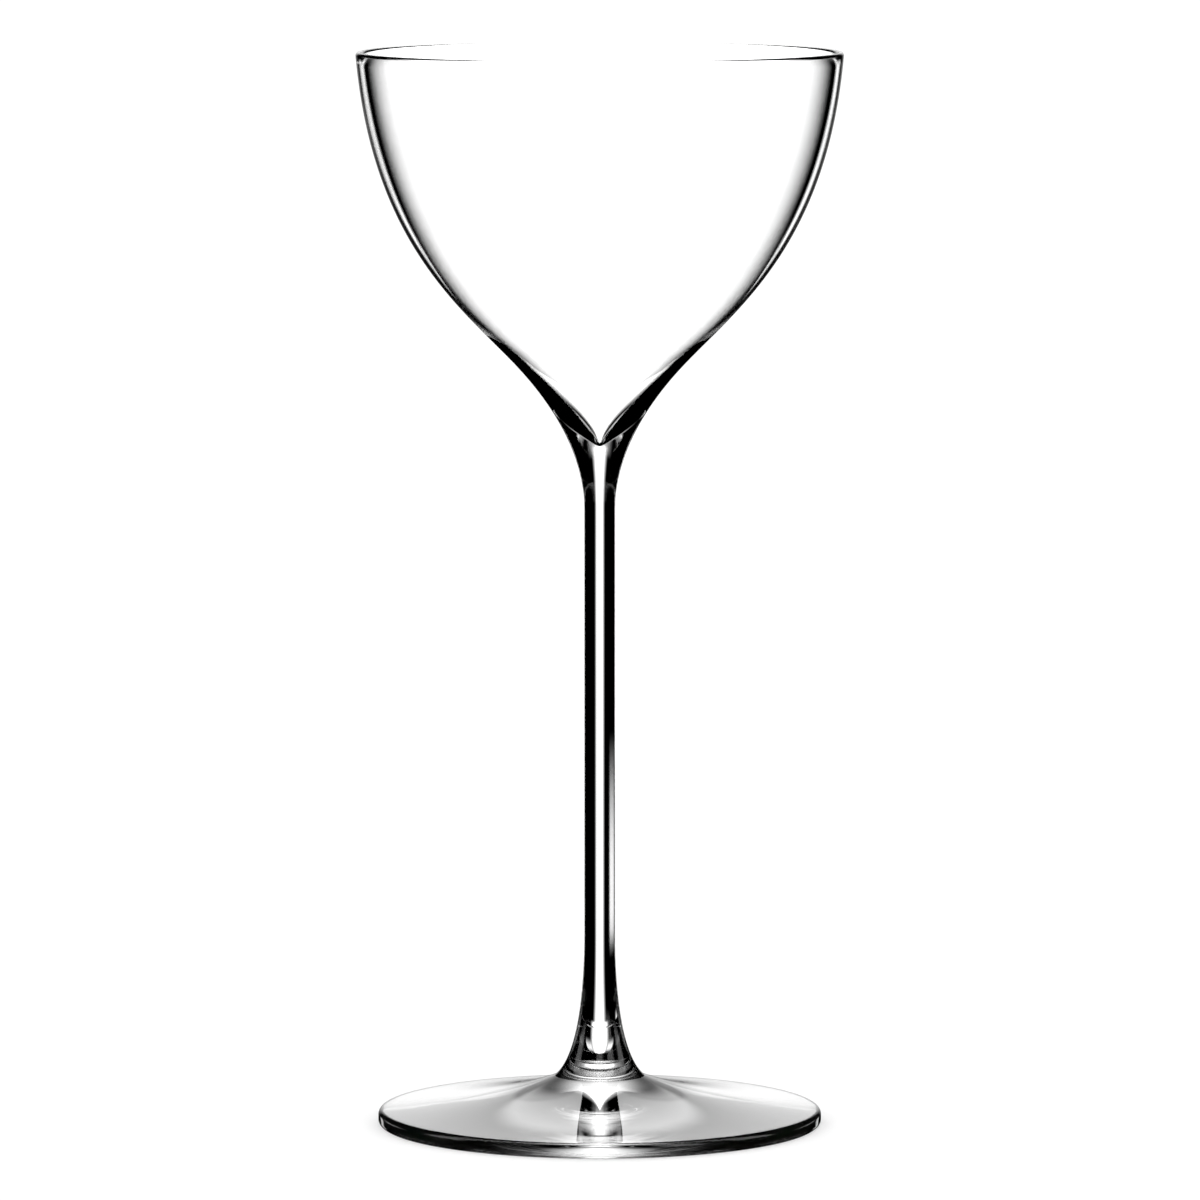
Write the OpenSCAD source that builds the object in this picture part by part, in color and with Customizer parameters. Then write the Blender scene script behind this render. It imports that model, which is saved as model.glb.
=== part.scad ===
// Small stemmed cocktail glass: a blown bowl, a drawn stem and a spun foot,
// three gathers of clear glass joined hot, face to face, on two curved seams.
// The frame stands on the table: +Z is the axis of turning and z = 0 is the resting ring.

/* [Overall] */
// Height from the table to the top of the rim
glass_h = 165; // [150:1:190]

/* [Bowl] */
// Outside diameter at the rim
rim_d = 74.4; // [66:0.2:84]
// Wall at the rim, rounded over its whole thickness
wall_t = 1.1; // [0.8:0.1:2]
// Drop from the rim to the turn, where the belly passes into the flare
turn_drop = 48; // [44:0.5:56]
// Outside diameter at the turn
turn_d = 25.4; // [22:0.2:30]
// Slope of the outside at the turn, in degrees from upright
turn_angle = 43; // [38:1:48]
// Wall at the turn, square to the surface
turn_wall_t = 1; // [0.8:0.1:1.6]
// Lean of the side at the rim, in degrees from upright
rim_lean = 5; // [0:1:9]
// How far the side holds its lean below the rim
rim_pull = 29; // [22:0.5:34]
// How far the belly holds its slope above the turn
belly_pull = 12; // [8:0.5:16]
// How much more the inside slopes than the outside at the turn, in degrees
inner_lean = 3; // [0:1:4]
// Glass between the bottom of the hollow and the tip of the bowl's nose
floor_t = 1.2; // [0.8:0.1:3]
// How far the hollow holds its slope below the turn
hollow_pull = 9.5; // [7:0.5:11]
// Half width of the rounded point at the bottom of the hollow
hollow_round = 0.6; // [0.3:0.1:3]
// Depth of the bowl's rounded nose in the top of the stem
bowl_nose_h = 1.4; // [0.6:0.1:2]

/* [Stem] */
// Diameter of the straight part of the stem
stem_d = 4.7; // [4:0.1:7]
// Drop from the turn to where the flare has become the straight stem
flare_h = 22; // [19:0.5:28]
// How far the flare holds its slope below the turn
flare_pull = 8.4; // [6:0.2:10]
// How far the straight stem reaches up into the flare
neck_pull = 8.2; // [5:0.2:11]
// Height of the stem's lower flare, from the foot's boss to the straight stem
ankle_h = 22.6; // [16:0.2:30]
// How far the straight stem reaches down into the lower flare
ankle_pull = 11.2; // [7:0.2:14]
// Slope of the lower flare where it meets the boss, in degrees from upright
boss_angle = 51; // [40:1:58]
// How far the lower flare holds that slope above the boss
boss_pull = 4.1; // [2.5:0.1:5]
// Depth of the stem's rounded nose in the dish of the foot
stem_nose_h = 1; // [0.4:0.1:2]

/* [Foot] */
// Diameter of the foot
foot_d = 68.2; // [60:0.2:78]
// Thickness of the foot at its edge
edge_t = 2.4; // [1.6:0.1:3.4]
// Rounding of the upper corner of the edge
edge_top_r = 0.9; // [0.3:0.1:1.2]
// Rounding of the lower corner of the edge
edge_under_r = 0.8; // [0.3:0.1:1.2]
// Diameter of the boss that carries the stem
boss_d = 13.8; // [11:0.2:17]
// Height of the boss's rim above the table
boss_h = 7.5; // [6.5:0.1:10]
// Fall of the foot where it leaves the boss, in degrees below level
foot_fall = 21; // [14:1:28]
// How far the foot holds that fall beside the boss
foot_pull = 6; // [3:0.5:8]
// Fall of the foot at its edge, in degrees below level
edge_fall = 5; // [2:1:8]
// How far the foot holds the edge's fall inward
edge_pull = 14; // [8:0.5:18]
// Width of the flat ring that the glass rests on
ring_w = 5; // [2:0.5:8]
// Rise of the hollow under the foot
kick_h = 1.2; // [0.4:0.1:2.4]

/* [Hidden] */

// Facets round the axis, and steps along each curve of a profile
$fn = 180;
curve_steps = 24;
seam_steps = 10;
round_steps = 8;

// Where along the flare the stem takes over from the bowl, from the turn to the stem
seam_share = 0.55;
// Pull of the belly's inside above the turn, as a share of the outside's
inner_share = 0.75;
// Most of the edge's thickness that each of its two roundings may take
round_share = 0.5;

// Radii
rim_r = rim_d / 2;
stem_r = stem_d / 2;
boss_r = boss_d / 2;
foot_r = foot_d / 2;
lip_r = wall_t / 2;
over_r = min(edge_top_r, edge_t * round_share);
under_r = min(edge_under_r, edge_t * round_share);

// A point that lies a given way from another, the angle measured from straight up towards outside
function off(p, far, angle) = p + far * [sin(angle), cos(angle)];

// A cubic curve through its two ends, drawn towards two pull points, from share a to share b
function curve_point(c, s) =
    pow(1 - s, 3) * c[0] + 3 * s * pow(1 - s, 2) * c[1]
    + 3 * s * s * (1 - s) * c[2] + pow(s, 3) * c[3];
function curve(c, a = 0, b = 1, steps = curve_steps) =
    [for (i = [0 : steps]) curve_point(c, a + (b - a) * i / steps)];

// An arc about a centre, the angles measured like those of off()
function arc(centre, r, a, b, steps = round_steps) =
    [for (i = [0 : steps]) off(centre, r, a + (b - a) * i / steps)];

// A shallow nose from its rim point down to its tip on the axis, part of a sphere
function nose_r(rim, h) = (rim[0] * rim[0] + h * h) / (2 * h);
function nose(rim, h) =
    let (r = nose_r(rim, h), tip = rim[1] - h, half = asin(rim[0] / r))
    arc([0, tip + r], r, 180 - half, 180, seam_steps);

function reversed(list) = [for (i = [len(list) - 1 : -1 : 0]) list[i]];
function without_first(list) = [for (i = [1 : len(list) - 1]) list[i]];
function without_last(list) = [for (i = [0 : len(list) - 2]) list[i]];

// Bowl, outside: rim, belly, turn and flare
lip_z = glass_h - lip_r;
turn = [turn_d / 2, glass_h - turn_drop];
neck = [stem_r, turn[1] - flare_h];
belly_curve = [
    [rim_r, lip_z],
    off([rim_r, lip_z], -rim_pull, rim_lean),
    off(turn, belly_pull, turn_angle),
    turn
];
flare_curve = [
    turn,
    off(turn, -flare_pull, turn_angle),
    neck + [0, neck_pull],
    neck
];

// Seam between the bowl and the stem, cut across the flare
bowl_seam = curve_point(flare_curve, seam_share);
bowl_nose = nose(bowl_seam, bowl_nose_h);

// Bowl, inside: a belly set in by the wall and turned a little more, then a hollow down to a rounded point
hollow_z = bowl_seam[1] - bowl_nose_h + floor_t;
inner_turn = off(turn, turn_wall_t, turn_angle - 90);
inner_angle = turn_angle + inner_lean;
inner_belly_curve = [
    [rim_r - wall_t, lip_z],
    off([rim_r - wall_t, lip_z], -rim_pull, rim_lean),
    off(inner_turn, belly_pull * inner_share, inner_angle),
    inner_turn
];
hollow_curve = [
    inner_turn,
    off(inner_turn, -hollow_pull, inner_angle),
    [hollow_round, hollow_z],
    [0, hollow_z]
];

// Stem's lower flare and its seam with the foot
ankle = [stem_r, boss_h + ankle_h];
boss = [boss_r, boss_h];
ankle_curve = [
    ankle,
    ankle - [0, ankle_pull],
    off(boss, boss_pull, -(boss_angle)),
    boss
];
stem_nose = nose(boss, stem_nose_h);

// Foot: upper side from the boss to the edge, two roundings, the resting ring and the kick
over_centre = [foot_r - over_r, edge_t - over_r];
under_centre = [foot_r - under_r, under_r];
edge_start = off(over_centre, over_r, edge_fall);
foot_curve = [
    boss,
    off(boss, foot_pull, 90 + foot_fall),
    off(edge_start, -edge_pull, 90 + edge_fall),
    edge_start
];
ring_in = foot_r - under_r - ring_w;
kick_curve = [
    [ring_in, 0],
    [ring_in / 2, 0],
    [ring_in / 2, kick_h],
    [0, kick_h]
];

// Bowl: a thin blown wall that thickens below the turn into a pointed hollow over a rounded nose
module bowl()
    color([0.93, 0.96, 0.97, 0.45])
        rotate_extrude()
            polygon(concat(
                reversed(bowl_nose),
                reversed(without_last(curve(flare_curve, 0, seam_share))),
                reversed(without_last(curve(belly_curve))),
                without_first(arc([rim_r - lip_r, lip_z], lip_r, 90, -90)),
                without_first(curve(inner_belly_curve)),
                without_first(curve(hollow_curve))));

// Stem: a cup for the bowl's nose, the lower flare's trumpet and a nose for the foot's dish
module stem()
    color([0.86, 0.91, 0.93, 0.6])
        rotate_extrude()
            polygon(concat(
                reversed(bowl_nose),
                without_first(curve(flare_curve, seam_share, 1)),
                curve(ankle_curve),
                without_first(stem_nose)));

// Foot: a spun disc with a dished boss, a rounded edge and a kick inside its resting ring
module foot()
    color([0.9, 0.94, 0.96, 0.5])
        rotate_extrude()
            polygon(concat(
                reversed(stem_nose),
                without_first(curve(foot_curve)),
                without_first(arc(over_centre, over_r, edge_fall, 90)),
                arc(under_centre, under_r, 90, 180),
                curve(kick_curve)));

bowl();
stem();
foot();
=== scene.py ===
# A small stemmed cocktail glass of clear glass, on a pale floor under soft studio light.
# The outlines are drawn in millimetres, and the meshes are made in metres.

import math

import bmesh
import bpy
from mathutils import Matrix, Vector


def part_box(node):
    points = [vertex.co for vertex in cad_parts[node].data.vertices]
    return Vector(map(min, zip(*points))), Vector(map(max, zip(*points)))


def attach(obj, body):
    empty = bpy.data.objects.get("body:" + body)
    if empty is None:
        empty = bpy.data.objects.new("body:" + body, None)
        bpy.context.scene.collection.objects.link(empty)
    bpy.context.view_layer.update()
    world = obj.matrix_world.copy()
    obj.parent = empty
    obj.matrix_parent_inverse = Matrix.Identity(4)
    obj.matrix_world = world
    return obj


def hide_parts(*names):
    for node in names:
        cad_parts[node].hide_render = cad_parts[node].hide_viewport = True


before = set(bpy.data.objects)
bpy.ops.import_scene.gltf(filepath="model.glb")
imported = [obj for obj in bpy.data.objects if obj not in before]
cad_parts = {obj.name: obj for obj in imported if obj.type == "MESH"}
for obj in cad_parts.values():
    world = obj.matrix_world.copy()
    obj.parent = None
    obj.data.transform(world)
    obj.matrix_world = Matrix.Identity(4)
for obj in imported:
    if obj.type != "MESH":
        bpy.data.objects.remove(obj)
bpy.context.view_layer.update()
mm = 0.001
print("frame loaded:", sorted(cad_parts))


# Drawing an outline: points are (radius, height), and angles turn from straight up to outside

def polar(point, far, angle):
    turned = math.radians(angle)
    return (point[0] + far * math.sin(turned), point[1] + far * math.cos(turned))


def curvePoint(pulls, share):
    rest = 1 - share
    weights = (rest ** 3, 3 * share * rest ** 2, 3 * share ** 2 * rest, share ** 3)
    return tuple(sum(weight * pull[axis] for weight, pull in zip(weights, pulls)) for axis in (0, 1))


def curve(pulls, steps, start=0.0, end=1.0):
    return [curvePoint(pulls, start + (end - start) * i / steps) for i in range(steps + 1)]


def arc(centre, radius, start, end, steps):
    return [polar(centre, radius, start + (end - start) * i / steps) for i in range(steps + 1)]


def nose(rim, depth, steps):  # a shallow cap from its rim down to its tip on the axis
    radius = (rim[0] ** 2 + depth ** 2) / (2 * depth)
    half = math.degrees(math.asin(rim[0] / radius))
    return arc((0.0, rim[1] - depth + radius), radius, 180 - half, 180, steps)


def nodeSize(name):  # largest radius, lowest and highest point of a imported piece, in mm
    low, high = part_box(name)
    return max(high.x, high.y) / mm, low.z / mm, high.z / mm


rimRadius, bowlTip, glassTop = nodeSize("bowl")
bossRadius, stemTip = nodeSize("stem")[:2]
footRadius, tableHeight, bossHeight = nodeSize("foot")

bowlForm = {
    "wall": 1.1,             # at the rim, rounded over its whole thickness
    "turnDrop": 48.0,        # from the rim to the turn, where the belly passes into the flare
    "turnRadius": 12.7,
    "turnAngle": 43.0,       # slope of the outside at the turn
    "turnWall": 1.0,
    "rimLean": 5.0,
    "rimPull": 29.0,
    "bellyPull": 12.0,
    "innerLean": 3.0,        # how much more the inside slopes at the turn
    "innerShare": 0.75,      # its pull above the turn, as a share of the outside's
    "floorThickness": 1.2,   # from the bottom of the hollow to the tip of the nose
    "hollowPull": 9.5,
    "hollowRound": 0.6,
    "flareDrop": 22.0,       # from the turn to the straight stem
    "flarePull": 8.4,
    "neckPull": 8.2,
    "seamShare": 0.55,       # where along the flare the stem takes over
}
stemForm = {
    "radius": 2.35,
    "ankleHeight": 22.6,     # from the boss to the straight stem
    "anklePull": 11.2,
    "bossAngle": 51.0,
    "bossPull": 4.1,
}
footForm = {
    "edgeThickness": 2.4,
    "overRadius": 0.9,
    "underRadius": 0.8,
    "roundShare": 0.5,       # the most of the edge that one rounding may take
    "fall": 21.0,
    "fallPull": 6.0,
    "edgeFall": 5.0,
    "edgePull": 14.0,
    "ringWidth": 5.0,        # flat ring that stands on the table
    "kickHeight": 1.2,
}
meshSteps = {"around": 288, "curve": 64, "seam": 14, "rounding": 14, "shank": 26}
meshLimits = {
    "samePoint": 1e-4,       # two points nearer than this are one
    "onAxis": 1e-6,          # a ring smaller than this is a single point
    "smoothAngle": 28.0,     # edges up to this angle look smooth
}


def flarePulls():
    turn = (bowlForm["turnRadius"], glassTop - bowlForm["turnDrop"])
    neck = (stemForm["radius"], turn[1] - bowlForm["flareDrop"])
    leaving = polar(turn, -bowlForm["flarePull"], bowlForm["turnAngle"])
    return [turn, leaving, (neck[0], neck[1] + bowlForm["neckPull"]), neck]


def bowlSeam():
    rim = curvePoint(flarePulls(), bowlForm["seamShare"])
    return nose(rim, rim[1] - bowlTip, meshSteps["seam"])


def stemSeam():
    return nose((bossRadius, bossHeight), bossHeight - stemTip, meshSteps["seam"])


def bowlOutline():
    form = bowlForm
    steps = meshSteps["curve"]
    turn = flarePulls()[0]
    lip = form["wall"] / 2
    lipHeight = glassTop - lip
    outRim = (rimRadius, lipHeight)
    inRim = (rimRadius - form["wall"], lipHeight)
    inTurn = polar(turn, form["turnWall"], form["turnAngle"] - 90)
    hollowHeight = bowlTip + form["floorThickness"]

    def belly(rim, low, pull, angle):
        return [rim, polar(rim, -form["rimPull"], form["rimLean"]), polar(low, pull, angle), low]

    inAngle = form["turnAngle"] + form["innerLean"]
    inBelly = belly(inRim, inTurn, form["bellyPull"] * form["innerShare"], inAngle)
    outBelly = belly(outRim, turn, form["bellyPull"], form["turnAngle"])
    hollow = [inTurn, polar(inTurn, -form["hollowPull"], inAngle),
              (form["hollowRound"], hollowHeight), (0.0, hollowHeight)]
    return [
        ("clear", curve(hollow, steps)[::-1]),
        ("clear", curve(inBelly, steps)[::-1]),
        ("clear", arc((rimRadius - lip, lipHeight), lip, -90, 90, meshSteps["rounding"])),
        ("clear", curve(outBelly, steps)),
        ("clear", curve(flarePulls(), steps // 2, 0, form["seamShare"])),
        ("joined", bowlSeam()),
    ]


def stemOutline():
    form = stemForm
    neck = flarePulls()[3]
    ankle = (form["radius"], bossHeight + form["ankleHeight"])
    boss = (bossRadius, bossHeight)
    lower = [ankle, (ankle[0], ankle[1] - form["anklePull"]),
             polar(boss, form["bossPull"], -form["bossAngle"]), boss]
    return [
        ("joined", bowlSeam()[::-1]),
        ("clear", curve(flarePulls(), meshSteps["curve"] // 2, bowlForm["seamShare"], 1)),
        ("clear", curve([neck, neck, ankle, ankle], meshSteps["shank"])),
        ("clear", curve(lower, meshSteps["curve"])),
        ("joined", stemSeam()),
    ]


def footOutline():
    form = footForm
    thick = form["edgeThickness"]
    over = min(form["overRadius"], thick * form["roundShare"])
    under = min(form["underRadius"], thick * form["roundShare"])
    overCentre = (footRadius - over, thick - over)
    underCentre = (footRadius - under, under)
    edge = polar(overCentre, over, form["edgeFall"])
    boss = (bossRadius, bossHeight)
    top = [boss, polar(boss, form["fallPull"], 90 + form["fall"]),
           polar(edge, -form["edgePull"], 90 + form["edgeFall"]), edge]
    ringInside = footRadius - under - form["ringWidth"]
    kick = [(ringInside, tableHeight), (ringInside / 2, tableHeight),
            (ringInside / 2, form["kickHeight"]), (0.0, form["kickHeight"])]
    return [
        ("joined", stemSeam()[::-1]),
        ("clear", curve(top, meshSteps["curve"])),
        ("clear", arc(overCentre, over, form["edgeFall"], 90, meshSteps["rounding"])),
        ("clear", arc(underCentre, under, 90, 180, meshSteps["rounding"])),
        ("clear", curve(kick, meshSteps["curve"])),
    ]


def joinSpans(spans):  # one run of points, and the finish of the band that follows each
    points = []
    finishes = []
    for finish, span in spans:
        for point in span:
            if points and math.dist(points[-1], point) < meshLimits["samePoint"]:
                continue
            if points:
                finishes.append(finish)
            points.append(point)
    return points, finishes


def lathe(name, spans, materials):
    points, finishes = joinSpans(spans)
    around = meshSteps["around"]
    angles = [2 * math.pi * i / around for i in range(around)]
    turns = [(math.cos(angle), math.sin(angle)) for angle in angles]
    mesh = bpy.data.meshes.new(name)
    shell = bmesh.new()
    rings = []
    for radius, height in points:
        if radius < meshLimits["onAxis"]:
            ring = [shell.verts.new((0, 0, height * mm))] * around
        else:
            ring = [shell.verts.new((radius * x * mm, radius * y * mm, height * mm)) for x, y in turns]
        rings.append(ring)
    slots = list(materials)
    for upper, lower, finish in zip(rings, rings[1:], finishes):
        for i in range(around):
            j = (i + 1) % around
            corners = list(dict.fromkeys((upper[i], lower[i], lower[j], upper[j])))
            face = shell.faces.new(corners)
            face.smooth = True
            face.material_index = slots.index(finish)
    bmesh.ops.recalc_face_normals(shell, faces=shell.faces)
    shell.to_mesh(mesh)
    shell.free()
    mesh.set_sharp_from_angle(angle=math.radians(meshLimits["smoothAngle"]))
    for slot in slots:
        mesh.materials.append(materials[slot])
    piece = bpy.data.objects.new(name, mesh)
    bpy.context.scene.collection.objects.link(piece)
    print("made", name, len(mesh.polygons), "faces")
    return piece


# Node helpers

def addNode(tree, kind, inputs=None, **settings):
    node = tree.nodes.new(kind)
    for key, value in settings.items():
        setattr(node, key, value)
    for key, value in (inputs or {}).items():
        if isinstance(value, bpy.types.NodeSocket):
            tree.links.new(value, node.inputs[key])
        else:
            node.inputs[key].default_value = value
    return node


def sums(tree, operation, first, second=0.0):
    return addNode(tree, "ShaderNodeMath", {0: first, 1: second}, operation=operation).outputs[0]


def soften(tree, value, start, end):  # an S curve from nothing at start to the whole at end
    inputs = {"Value": value, "From Min": start, "From Max": end}
    return addNode(tree, "ShaderNodeMapRange", inputs, interpolation_type="SMOOTHSTEP").outputs[0]


def noise(tree, inputs):
    return addNode(tree, "ShaderNodeTexNoise", inputs).outputs["Fac"]


def addSockets(group, inputs, outputs):  # all of them plain numbers
    for way, names in (("INPUT", inputs), ("OUTPUT", outputs)):
        for name in names:
            group.interface.new_socket(name, in_out=way, socket_type="NodeSocketFloat")


surfaceNoise = {
    "ripple": {"Detail": 1.5, "Roughness": 0.35},
    "smear": {"Detail": 3.0, "Roughness": 0.6, "Distortion": 0.6},
    "scratch": {"Scale": 900.0, "Detail": 4.0, "Roughness": 0.7, "Distortion": 1.5},
    "smearFrom": 0.5,        # how strong the noise is where a wiping mark starts,
    "smearFull": 0.75,       # and where it is at its roughest
    "scratchFrom": 0.45,
    "scratchFull": 0.65,
    "scuffHeight": 0.0002,   # how far up from the table the scuffs reach, in metres
}


def makeGlassSurface():  # slow ripples, draw lines, faint wiping marks and the scuffs of a resting ring
    form = surfaceNoise
    group = bpy.data.node_groups.new("glassSurface", "ShaderNodeTree")
    addSockets(group, ("Ripple Size", "Stretch", "Smear Size", "Smear", "Scuff"), ("Height", "Roughness"))
    given = group.nodes.new("NodeGroupInput").outputs
    put = group.nodes.new("NodeGroupOutput").inputs
    place = addNode(group, "ShaderNodeTexCoord").outputs["Object"]
    drawn = addNode(group, "ShaderNodeCombineXYZ", {0: 1.0, 1: 1.0, 2: given["Stretch"]}).outputs[0]
    pulled = addNode(group, "ShaderNodeVectorMath", {0: place, 1: drawn}, operation="MULTIPLY").outputs[0]
    rippleScale = sums(group, "DIVIDE", 1.0, given["Ripple Size"])
    smearScale = sums(group, "DIVIDE", 1.0, given["Smear Size"])
    ripple = noise(group, {"Vector": pulled, "Scale": rippleScale, **form["ripple"]})
    smear = noise(group, {"Vector": pulled, "Scale": smearScale, **form["smear"]})
    patches = soften(group, smear, form["smearFrom"], form["smearFull"])
    low = addNode(group, "ShaderNodeSeparateXYZ", {0: place}).outputs[2]
    resting = soften(group, low, form["scuffHeight"], 0.0)
    scratch = noise(group, {"Vector": place, **form["scratch"]})
    marks = soften(group, scratch, form["scratchFrom"], form["scratchFull"])
    scuffs = sums(group, "MULTIPLY", sums(group, "MULTIPLY", resting, marks), given["Scuff"])
    group.links.new(ripple, put["Height"])
    rough = sums(group, "ADD", sums(group, "MULTIPLY", patches, given["Smear"]), scuffs)
    group.links.new(rough, put["Roughness"])
    return group


glassSurface = makeGlassSurface()
glassIndex = {
    "clear": 1.5,
    "joined": 1.0,   # where two gathers ran together hot there is no change of medium, so nothing bends
}
rippleDepth = {"bowl": 0.00004, "stem": 0.000006, "foot": 0.00003}
glassFinish = {
    "bowl": {"Ripple Size": 0.016, "Stretch": 0.6, "Smear Size": 0.02, "Smear": 0.012, "Scuff": 0.0},
    "stem": {"Ripple Size": 0.004, "Stretch": 0.12, "Smear Size": 0.01, "Smear": 0.004, "Scuff": 0.0},
    "foot": {"Ripple Size": 0.012, "Stretch": 1.0, "Smear Size": 0.015, "Smear": 0.012, "Scuff": 0.1},
}
white = (1.0, 1.0, 1.0, 1.0)


def glassShader(material, index):
    material.use_nodes = True
    shader = material.node_tree.nodes["Principled BSDF"]
    shader.inputs["Base Color"].default_value = white
    shader.inputs["Transmission Weight"].default_value = 1.0
    shader.inputs["IOR"].default_value = index
    shader.inputs["Metallic"].default_value = 0.0
    return shader


def clearGlass(name):
    material = bpy.data.materials.new("clearGlass_" + name)
    shader = glassShader(material, glassIndex["clear"])
    tree = material.node_tree
    surface = addNode(tree, "ShaderNodeGroup", node_tree=glassSurface)
    for socket, value in glassFinish[name].items():
        surface.inputs[socket].default_value = value
    bump = addNode(tree, "ShaderNodeBump",
                   {"Strength": 1.0, "Distance": rippleDepth[name], "Height": surface.outputs["Height"]})
    tree.links.new(surface.outputs["Roughness"], shader.inputs["Roughness"])
    tree.links.new(bump.outputs["Normal"], shader.inputs["Normal"])
    return material


def joinedGlass():
    material = bpy.data.materials.new("joinedGlass")
    shader = glassShader(material, glassIndex["joined"])
    shader.inputs["Roughness"].default_value = 0.0
    return material


seamFinish = joinedGlass()
for pieceName, outline in (("bowl", bowlOutline()), ("stem", stemOutline()), ("foot", footOutline())):
    made = lathe(pieceName + "_blown", outline, {"clear": clearGlass(pieceName), "joined": seamFinish})
    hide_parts(pieceName)
    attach(made, "root")


# The studio: panels that the glass sees, in degrees from the axis of the photo's view.
# Light straight through the glass, light that was reflected once in it and light that was
# reflected more often come from panels of their own. A panel from -95, or up to 95, has no end there.

studio = {
    "level": 1.08,   # of the white that lights the floor and stands behind the glass
    "through": [
        {"azimuth": 0, "half": 8, "edge": 5.4, "low": -95, "high": 24, "fade": 2, "level": 2.0},
        {"azimuth": 0, "half": 10.2, "edge": 10.2, "low": 20.5, "high": 95, "fade": 3, "level": 0.94},
        {"azimuth": 0, "half": 13.7, "edge": 4.4, "low": -95, "high": -20.5, "fade": 0.6, "level": 2.0},
        {"azimuth": -22, "half": 6, "edge": 0.5, "low": -58, "high": -45, "fade": 5, "level": 1.4},
        {"azimuth": 22, "half": 6, "edge": 0.5, "low": -58, "high": -45, "fade": 5, "level": 1.4},
        {"azimuth": -45, "half": 4, "edge": 3, "low": -28, "high": -22, "fade": 2, "level": 1.4},
    ],
    "underFoot": [  # the pale floor below the foot, for a look from the sides and the back
        {"azimuth": 180, "half": 138, "edge": 8, "low": -95, "high": -6, "fade": 4, "level": 0.95},
    ],
    "most": 10.0,           # no limit in effect,
    "mostUnderFoot": 1.0,   # except on light that comes up through the foot
    "acrossLow": 4.0,       # reflections that cross both walls of the bowl start above this,
    "acrossHigh": 9.0,      # and have all of their light from here
    "once": [
        {"azimuth": 0, "half": 11.1, "edge": 7.3, "low": -1.9, "high": 95, "fade": 7.4, "level": 1.13},
        {"azimuth": 0, "half": 7, "edge": 0.5, "low": 9.2, "high": 95, "fade": 0.5, "level": 0.6},
        {"azimuth": 0, "half": 9.4, "edge": 1.7, "low": 21.8, "high": 95, "fade": 2, "level": 1.34},
        {"azimuth": -23, "half": 2.6, "edge": 2.6, "low": -16, "high": -3, "fade": 0.5, "level": 1.6},
        {"azimuth": 23, "half": 2.6, "edge": 2.6, "low": -16, "high": -3, "fade": 0.5, "level": 1.6},
        {"azimuth": -45, "half": 11, "edge": 8, "low": -1.5, "high": 4, "fade": 3.4, "level": 1.0},
        {"azimuth": 45, "half": 11, "edge": 8, "low": -1.5, "high": 4, "fade": 3.4, "level": 1.0},
    ],
    "often": [
        {"azimuth": 0, "half": 9.1, "edge": 9.1, "low": 5.5, "high": 95, "fade": 0.6, "level": 1.23},
        {"azimuth": 0, "half": 21.4, "edge": 14, "low": 33.5, "high": 95, "fade": 12, "level": 0.73},
        {"azimuth": 0, "half": 7.7, "edge": 7.7, "low": -95, "high": -5.2, "fade": 1, "level": 1.35},
        {"azimuth": 0, "half": 22.5, "edge": 10, "low": -95, "high": -37, "fade": 12, "level": 0.44},
    ],
    "headings": [-90, 90, 135, 180],  # the same few panels again, for a look from the other sides
    "again": {
        "through": {"half": 10, "edge": 5, "low": -95, "high": 95, "fade": 2, "level": 1.6},
        "once": {"half": 12, "edge": 5, "low": 8, "high": 95, "fade": 3, "level": 1.6},
        "often": {"half": 9, "edge": 8, "low": -95, "high": -52, "fade": 3, "level": 1.3},
    },
}
for heading in studio["headings"]:
    for sight, panel in studio["again"].items():
        studio[sight].append({"azimuth": heading, **panel})

# What a ray has met on its way, where each number lies between two whole counts
rayCounts = {
    "onceReflected": 0.5,
    "oftenReflected": 1.5,
    "onlyMarker": 1.5,     # past this it came up through the floor and the clear marker below the foot
    "onePiece": 2.5,       # walls crossed: up to this it went through one piece alone,
    "oneWall": 3.5,        # and past this through both walls of the bowl
    "scattered": 0.5,      # past this the floor has scattered it
}
halfTurn = 180.0


def makePanel():  # the light of one panel in a direction, soft at its sides and ends
    group = bpy.data.node_groups.new("litPanel", "ShaderNodeTree")
    sides = ("Centre", "Half", "Edge", "Low", "High", "Fade", "Level")
    addSockets(group, ("Azimuth", "Elevation", *sides), ("Light",))
    given = group.nodes.new("NodeGroupInput").outputs
    put = group.nodes.new("NodeGroupOutput").inputs
    away = sums(group, "SUBTRACT", given["Azimuth"], given["Centre"])
    span = {0: away, 1: halfTurn, 2: -halfTurn}
    wrapped = addNode(group, "ShaderNodeMath", span, operation="WRAP").outputs[0]
    side = sums(group, "ABSOLUTE", wrapped)
    light = soften(group, side, sums(group, "ADD", given["Half"], given["Edge"]),
                   sums(group, "SUBTRACT", given["Half"], given["Edge"]))
    above = soften(group, given["Elevation"], sums(group, "SUBTRACT", given["Low"], given["Fade"]),
                   sums(group, "ADD", given["Low"], given["Fade"]))
    below = soften(group, given["Elevation"], sums(group, "ADD", given["High"], given["Fade"]),
                   sums(group, "SUBTRACT", given["High"], given["Fade"]))
    lit = sums(group, "MULTIPLY", sums(group, "MULTIPLY", light, above), below)
    group.links.new(sums(group, "MULTIPLY", lit, given["Level"]), put["Light"])
    return group


panelSockets = {"azimuth": "Centre", "half": "Half", "edge": "Edge", "low": "Low", "high": "High",
                "fade": "Fade", "level": "Level"}


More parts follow.
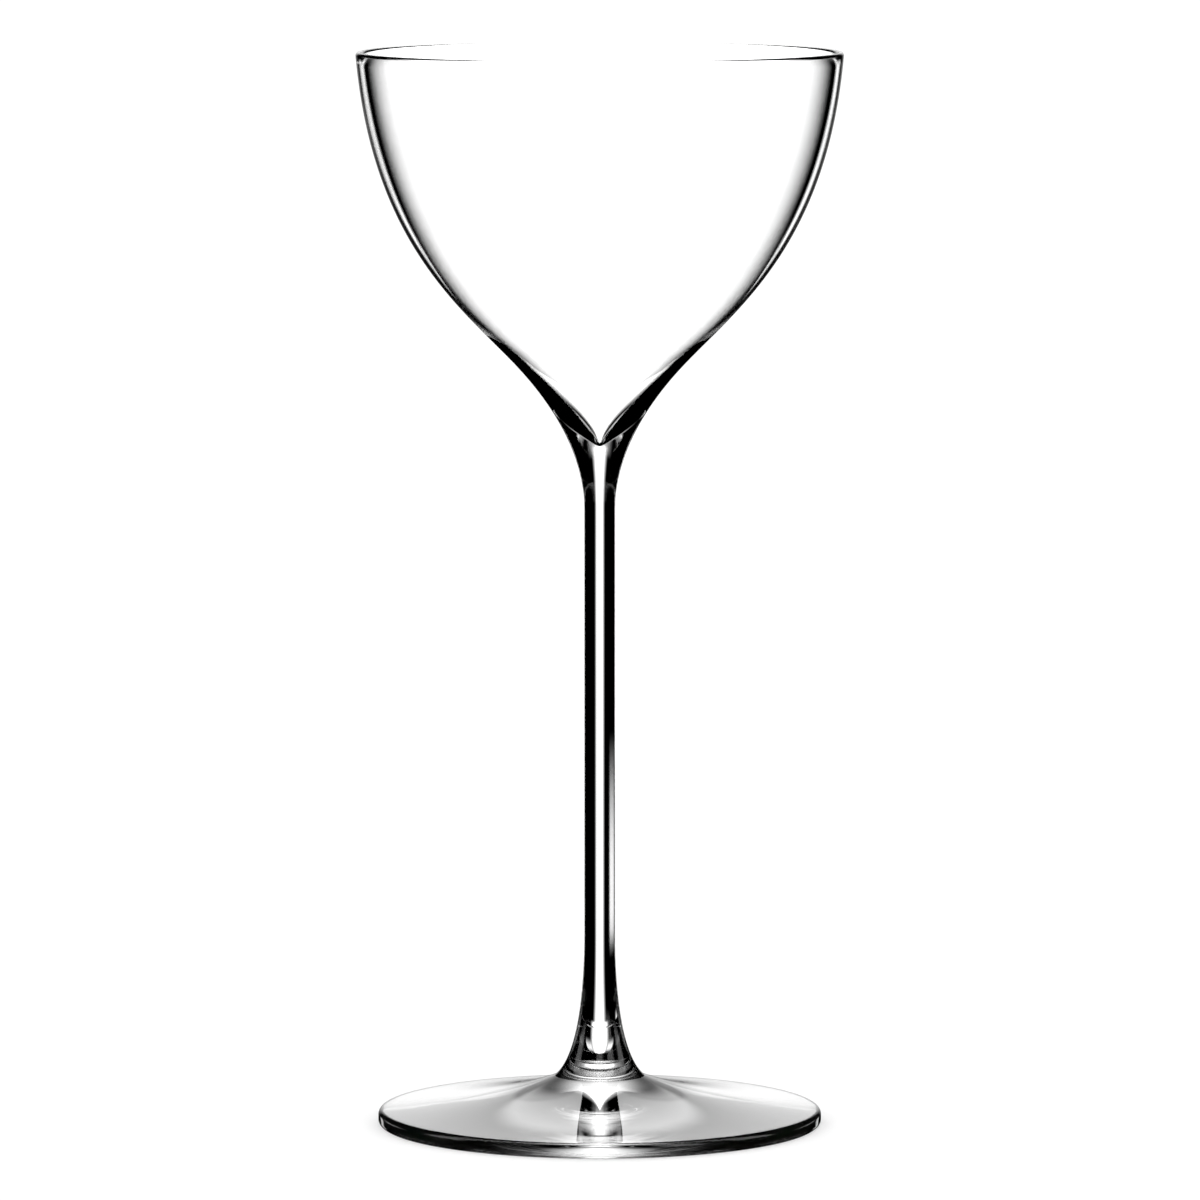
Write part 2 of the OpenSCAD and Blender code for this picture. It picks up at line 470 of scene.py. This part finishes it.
def makeWorld():
    world = bpy.data.worlds.new("studio")
    bpy.context.scene.world = world
    world.use_nodes = True
    tree = world.node_tree
    tree.nodes.clear()
    litPanel = makePanel()
    way = addNode(tree, "ShaderNodeTexCoord").outputs["Generated"]
    part = addNode(tree, "ShaderNodeSeparateXYZ", {0: way}).outputs
    azimuth = sums(tree, "DEGREES", sums(tree, "ARCTAN2", part[0], part[1]))
    elevation = sums(tree, "DEGREES", sums(tree, "ARCSINE", part[2]))

    def allPanels(panels):
        total = 0.0
        for panel in panels:
            lit = addNode(tree, "ShaderNodeGroup", node_tree=litPanel)
            tree.links.new(azimuth, lit.inputs["Azimuth"])
            tree.links.new(elevation, lit.inputs["Elevation"])
            for key, socket in panelSockets.items():
                lit.inputs[socket].default_value = panel[key]
            total = sums(tree, "ADD", lit.outputs["Light"], total)
        return total

    def mixed(share, plain, other):
        return addNode(tree, "ShaderNodeMix", {"Factor": share, "A": plain, "B": other}).outputs["Result"]

    path = addNode(tree, "ShaderNodeLightPath").outputs
    counts = rayCounts
    belowFoot = sums(tree, "GREATER_THAN", path["Transparent Depth"], counts["onlyMarker"])
    onePiece = sums(tree, "LESS_THAN", path["Transmission Depth"], counts["onePiece"])
    fromFloor = sums(tree, "MULTIPLY", belowFoot, onePiece)
    floorLight = sums(tree, "MULTIPLY", fromFloor, allPanels(studio["underFoot"]))
    seen = sums(tree, "ADD", allPanels(studio["through"]), floorLight)
    seen = sums(tree, "MINIMUM", seen, mixed(fromFloor, studio["most"], studio["mostUnderFoot"]))
    twoWalls = sums(tree, "GREATER_THAN", path["Transmission Depth"], counts["oneWall"])
    low = soften(tree, elevation, studio["acrossHigh"], studio["acrossLow"])
    kept = sums(tree, "SUBTRACT", 1.0, sums(tree, "MULTIPLY", twoWalls, low))
    for bounces, panels in (("onceReflected", "once"), ("oftenReflected", "often")):
        more = sums(tree, "GREATER_THAN", path["Glossy Depth"], counts[bounces])
        seen = mixed(more, seen, sums(tree, "MULTIPLY", allPanels(studio[panels]), kept))
    inGlass = sums(tree, "MAXIMUM", path["Is Glossy Ray"], path["Is Transmission Ray"])
    unscattered = sums(tree, "LESS_THAN", path["Diffuse Depth"], counts["scattered"])
    fromGlass = sums(tree, "MULTIPLY", inGlass, unscattered)
    strength = mixed(fromGlass, studio["level"], seen)
    light = addNode(tree, "ShaderNodeBackground", {"Color": white, "Strength": strength})
    out = addNode(tree, "ShaderNodeOutputWorld")
    tree.links.new(light.outputs[0], out.inputs["Surface"])


makeWorld()
print("studio lit")

floorForm = {
    "half": 4.0,           # the floor's half width, in metres
    "drop": 0.00002,       # how far the floor lies below the resting ring
    "cardHeading": -45.0,  # a stretch of floor that the bowl shows through its wall, by its bearing
    "cardHalf": 15.0,
    "cardNear": 0.19,
    "cardFar": 0.4,
    "cardEdge": 0.3,       # how softly it ends, as a share of each of these
    "unshone": 0.5,        # between no reflection and one: only light without any shows the stretch
    "markerShare": 0.5,    # how far down to the floor the clear marker lies, as a share
    "markerSides": 72,
}


def stageMesh(name, outline, height, material):
    mesh = bpy.data.meshes.new(name)
    mesh.from_pydata([(x, y, 0) for x, y in outline], [], [range(len(outline))])
    mesh.materials.append(material)
    thing = bpy.data.objects.new(name, mesh)
    thing.location.z = height
    bpy.context.scene.collection.objects.link(thing)


def paleFloor():  # lets the light that leaves the glass go on to the studio, except at the card
    form = floorForm
    material = bpy.data.materials.new("paleFloor")
    material.use_nodes = True
    tree = material.node_tree
    shader = tree.nodes["Principled BSDF"]
    shader.inputs["Base Color"].default_value = white
    shader.inputs["Roughness"].default_value = 1.0
    shader.inputs["Specular IOR Level"].default_value = 0.0
    path = addNode(tree, "ShaderNodeLightPath").outputs
    place = addNode(tree, "ShaderNodeTexCoord").outputs["Object"]
    part = addNode(tree, "ShaderNodeSeparateXYZ", {0: place}).outputs
    bearing = sums(tree, "DEGREES", sums(tree, "ARCTAN2", part[0], part[1]))
    away = addNode(tree, "ShaderNodeVectorMath", {0: place}, operation="LENGTH").outputs["Value"]
    aside = sums(tree, "ABSOLUTE", sums(tree, "SUBTRACT", bearing, form["cardHeading"]))
    inner = 1 - form["cardEdge"]
    outer = 1 + form["cardEdge"]
    card = soften(tree, aside, form["cardHalf"] * outer, form["cardHalf"] * inner)
    for start, end in ((form["cardNear"] * inner, form["cardNear"] * outer),
                       (form["cardFar"] * outer, form["cardFar"] * inner)):
        card = sums(tree, "MULTIPLY", card, soften(tree, away, start, end))
    unshone = sums(tree, "LESS_THAN", path["Glossy Depth"], form["unshone"])
    shown = sums(tree, "MULTIPLY", card, unshone)
    glassRay = sums(tree, "MAXIMUM", path["Is Glossy Ray"], path["Is Transmission Ray"])
    gone = sums(tree, "MULTIPLY", glassRay, sums(tree, "SUBTRACT", 1.0, shown))
    unseen = addNode(tree, "ShaderNodeBsdfTransparent")
    laid = addNode(tree, "ShaderNodeMixShader", {0: gone, 1: shader.outputs[0], 2: unseen.outputs[0]})
    tree.links.new(laid.outputs[0], tree.nodes["Material Output"].inputs["Surface"])
    return material


def clearMarker():  # a clear disc: the studio counts the light that crosses it
    material = bpy.data.materials.new("clearMarker")
    material.use_nodes = True
    tree = material.node_tree
    unseen = addNode(tree, "ShaderNodeBsdfTransparent")
    tree.links.new(unseen.outputs[0], tree.nodes["Material Output"].inputs["Surface"])
    return material


def layFloor():
    form = floorForm
    far = form["half"]
    square = [(-far, -far), (far, -far), (far, far), (-far, far)]
    stageMesh("floor", square, -form["drop"], paleFloor())
    angles = [360 * i / form["markerSides"] for i in range(form["markerSides"])]
    disc = [polar((0.0, 0.0), footRadius * mm, angle) for angle in angles]
    stageMesh("under_foot", disc, -form["drop"] * form["markerShare"], clearMarker())
    print("floor laid")


layFloor()

cameraForm = {
    "place": (0.0, -1.34985, 0.219776),
    "down": 5.8679,        # how far it looks down, in degrees
    "lens": 265.667,
    "sensor": 36.0,
    "shift": 0.00025,
    "reach": 10.0,         # how far it sees, in metres
}


def makeCamera():
    form = cameraForm
    data = bpy.data.cameras.new("camera")
    data.sensor_width = form["sensor"]
    data.lens = form["lens"]
    data.shift_x = form["shift"]
    data.clip_end = form["reach"]
    camera = bpy.data.objects.new("camera", data)
    camera.location = form["place"]
    camera.rotation_euler = (math.radians(90 - form["down"]), 0, 0)
    bpy.context.scene.collection.objects.link(camera)
    bpy.context.scene.camera = camera


makeCamera()
print("camera set")

bpy.context.scene.view_settings.view_transform = "Standard"
lightPaths = {"max_bounces": 24, "glossy_bounces": 24, "transmission_bounces": 24}
for setting, count in lightPaths.items():  # light runs a long way inside clear glass
    setattr(bpy.context.scene.cycles, setting, count)
